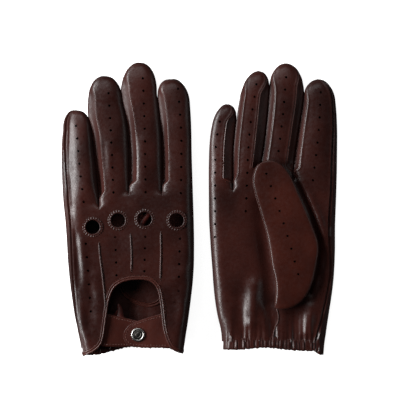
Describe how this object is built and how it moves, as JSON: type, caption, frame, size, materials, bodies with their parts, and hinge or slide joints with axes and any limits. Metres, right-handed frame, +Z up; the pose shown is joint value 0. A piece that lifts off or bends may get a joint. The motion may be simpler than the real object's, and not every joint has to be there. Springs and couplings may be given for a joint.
{
  "type": "leather driving gloves",
  "caption": "Pair of unlined leather driving gloves with punched holes, knuckle holes, an arched back opening and a snap wrist strap.",
  "frame": {"origin": "middle of the pair's footprint, on the surface that the gloves lie on", "axes": "+X from the left glove to the right glove, +Y from the wrists to the fingertips, +Z up; the left glove lies palm down and the right one palm up"},
  "size_m": [0.2174, 0.2365, 0.0253],
  "materials": {
    "glove_leather": "glossy nappa leather, dark reddish brown",
    "fourchette_leather": "glossy nappa leather, slightly darker",
    "binding_leather": "rolled leather binding with a stitch line",
    "thumb_leather": "glossy nappa leather, slightly redder",
    "strap_leather": "glossy nappa leather with edge stitching",
    "elastic": "woven elastic",
    "snap_cap": "bright rim around a dark enamelled middle",
    "snap_metal": "plated steel"
  },
  "bodies": {
    "left_hand": {"left_back_panel": "glove_leather", "left_palm_panel": "glove_leather", "left_crotch_fourchettes": "fourchette_leather", "left_opening_binding": "binding_leather", "left_wrist_hem": "binding_leather", "left_wrist_elastic": "elastic", "left_knuckle_rings": "fourchette_leather", "left_thumb_welt": "fourchette_leather", "left_thumb_root": "thumb_leather", "left_strap_base": "strap_leather", "left_strap_root": "strap_leather", "left_snap_stud": "snap_metal", "left_snap_post": "snap_metal"},
    "left_strap": {"left_strap_tab": "strap_leather", "left_snap_cap": "snap_cap", "left_snap_socket": "snap_metal"},
    "left_thumb": {"left_thumb_top": "thumb_leather", "left_thumb_under": "thumb_leather"},
    "left_little_finger": {"left_little_back": "glove_leather", "left_little_palm": "glove_leather", "left_little_fourchettes": "fourchette_leather"},
    "left_ring_finger": {"left_ring_back": "glove_leather", "left_ring_palm": "glove_leather", "left_ring_fourchettes": "fourchette_leather"},
    "left_middle_finger": {"left_middle_back": "glove_leather", "left_middle_palm": "glove_leather", "left_middle_fourchettes": "fourchette_leather"},
    "left_index_finger": {"left_index_back": "glove_leather", "left_index_palm": "glove_leather", "left_index_fourchettes": "fourchette_leather"},
    "right_hand": {"right_back_panel": "glove_leather", "right_palm_panel": "glove_leather", "right_crotch_fourchettes": "fourchette_leather", "right_opening_binding": "binding_leather", "right_wrist_hem": "binding_leather", "right_wrist_elastic": "elastic", "right_knuckle_rings": "fourchette_leather", "right_thumb_welt": "fourchette_leather", "right_thumb_root": "thumb_leather", "right_strap_base": "strap_leather", "right_strap_root": "strap_leather", "right_snap_stud": "snap_metal", "right_snap_post": "snap_metal"},
    "right_strap": {"right_strap_tab": "strap_leather", "right_snap_cap": "snap_cap", "right_snap_socket": "snap_metal"},
    "right_thumb": {"right_thumb_top": "thumb_leather", "right_thumb_under": "thumb_leather"},
    "right_little_finger": {"right_little_back": "glove_leather", "right_little_palm": "glove_leather", "right_little_fourchettes": "fourchette_leather"},
    "right_ring_finger": {"right_ring_back": "glove_leather", "right_ring_palm": "glove_leather", "right_ring_fourchettes": "fourchette_leather"},
    "right_middle_finger": {"right_middle_back": "glove_leather", "right_middle_palm": "glove_leather", "right_middle_fourchettes": "fourchette_leather"},
    "right_index_finger": {"right_index_back": "glove_leather", "right_index_palm": "glove_leather", "right_index_fourchettes": "fourchette_leather"}
  },
  "joints": [
    {"name": "glove_apart", "type": "slide", "parent": "left_hand", "child": "right_hand", "axis": [1, 0, 0], "range_m": [0, 0.12]},
    {"name": "left_strap_open", "type": "hinge", "parent": "left_hand", "child": "left_strap", "pos_m": [-0.03067, -0.09523, 0.02201], "axis": [-0.2442, 0.9692, -0.0323], "range_deg": [0, 76]},
    {"name": "left_thumb_unfold", "type": "hinge", "parent": "left_hand", "child": "left_thumb", "pos_m": [-0.03792, -0.05264, 0], "axis": [-0.5807, -0.8141, 0], "range_deg": [0, 90]},
    {"name": "left_little_bend", "type": "hinge", "parent": "left_hand", "child": "left_little_finger", "pos_m": [-0.09557, 0.03118, 0.0128], "axis": [-0.9973, -0.0732, 0.0024], "range_deg": [0, 70]},
    {"name": "left_ring_bend", "type": "hinge", "parent": "left_hand", "child": "left_ring_finger", "pos_m": [-0.07072, 0.0491, 0.0122], "axis": [-0.9963, -0.0854, 0.0028], "range_deg": [0, 70]},
    {"name": "left_middle_bend", "type": "hinge", "parent": "left_hand", "child": "left_middle_finger", "pos_m": [-0.04411, 0.04919, 0.01219], "axis": [-0.9988, -0.0488, 0.0016], "range_deg": [0, 70]},
    {"name": "left_index_bend", "type": "hinge", "parent": "left_hand", "child": "left_index_finger", "pos_m": [-0.01876, 0.0462, 0.01229], "axis": [-0.999, -0.0453, 0.0015], "range_deg": [0, 70]},
    {"name": "right_strap_open", "type": "hinge", "parent": "right_hand", "child": "right_strap", "pos_m": [0.08433, -0.09595, 0.0025], "axis": [0.2442, -0.9697, 0], "range_deg": [0, 76]},
    {"name": "right_thumb_unfold", "type": "hinge", "parent": "right_hand", "child": "right_thumb", "pos_m": [0.07708, -0.05265, 0.02308], "axis": [0.5807, 0.8137, -0.0271], "range_deg": [0, 90]},
    {"name": "right_little_bend", "type": "hinge", "parent": "right_hand", "child": "right_little_finger", "pos_m": [0.01944, 0.04523, 0.0075], "axis": [0.9993, -0.0384, 0], "range_deg": [0, 70]},
    {"name": "right_ring_bend", "type": "hinge", "parent": "right_hand", "child": "right_ring_finger", "pos_m": [0.0401, 0.05161, 0.0075], "axis": [0.9956, -0.0941, 0], "range_deg": [0, 70]},
    {"name": "right_middle_bend", "type": "hinge", "parent": "right_hand", "child": "right_middle_finger", "pos_m": [0.06563, 0.05814, 0.0075], "axis": [0.9963, -0.0854, 0], "range_deg": [0, 70]},
    {"name": "right_index_bend", "type": "hinge", "parent": "right_hand", "child": "right_index_finger", "pos_m": [0.09424, 0.05521, 0.0075], "axis": [0.9986, -0.0523, 0], "range_deg": [0, 70]}
  ]
}
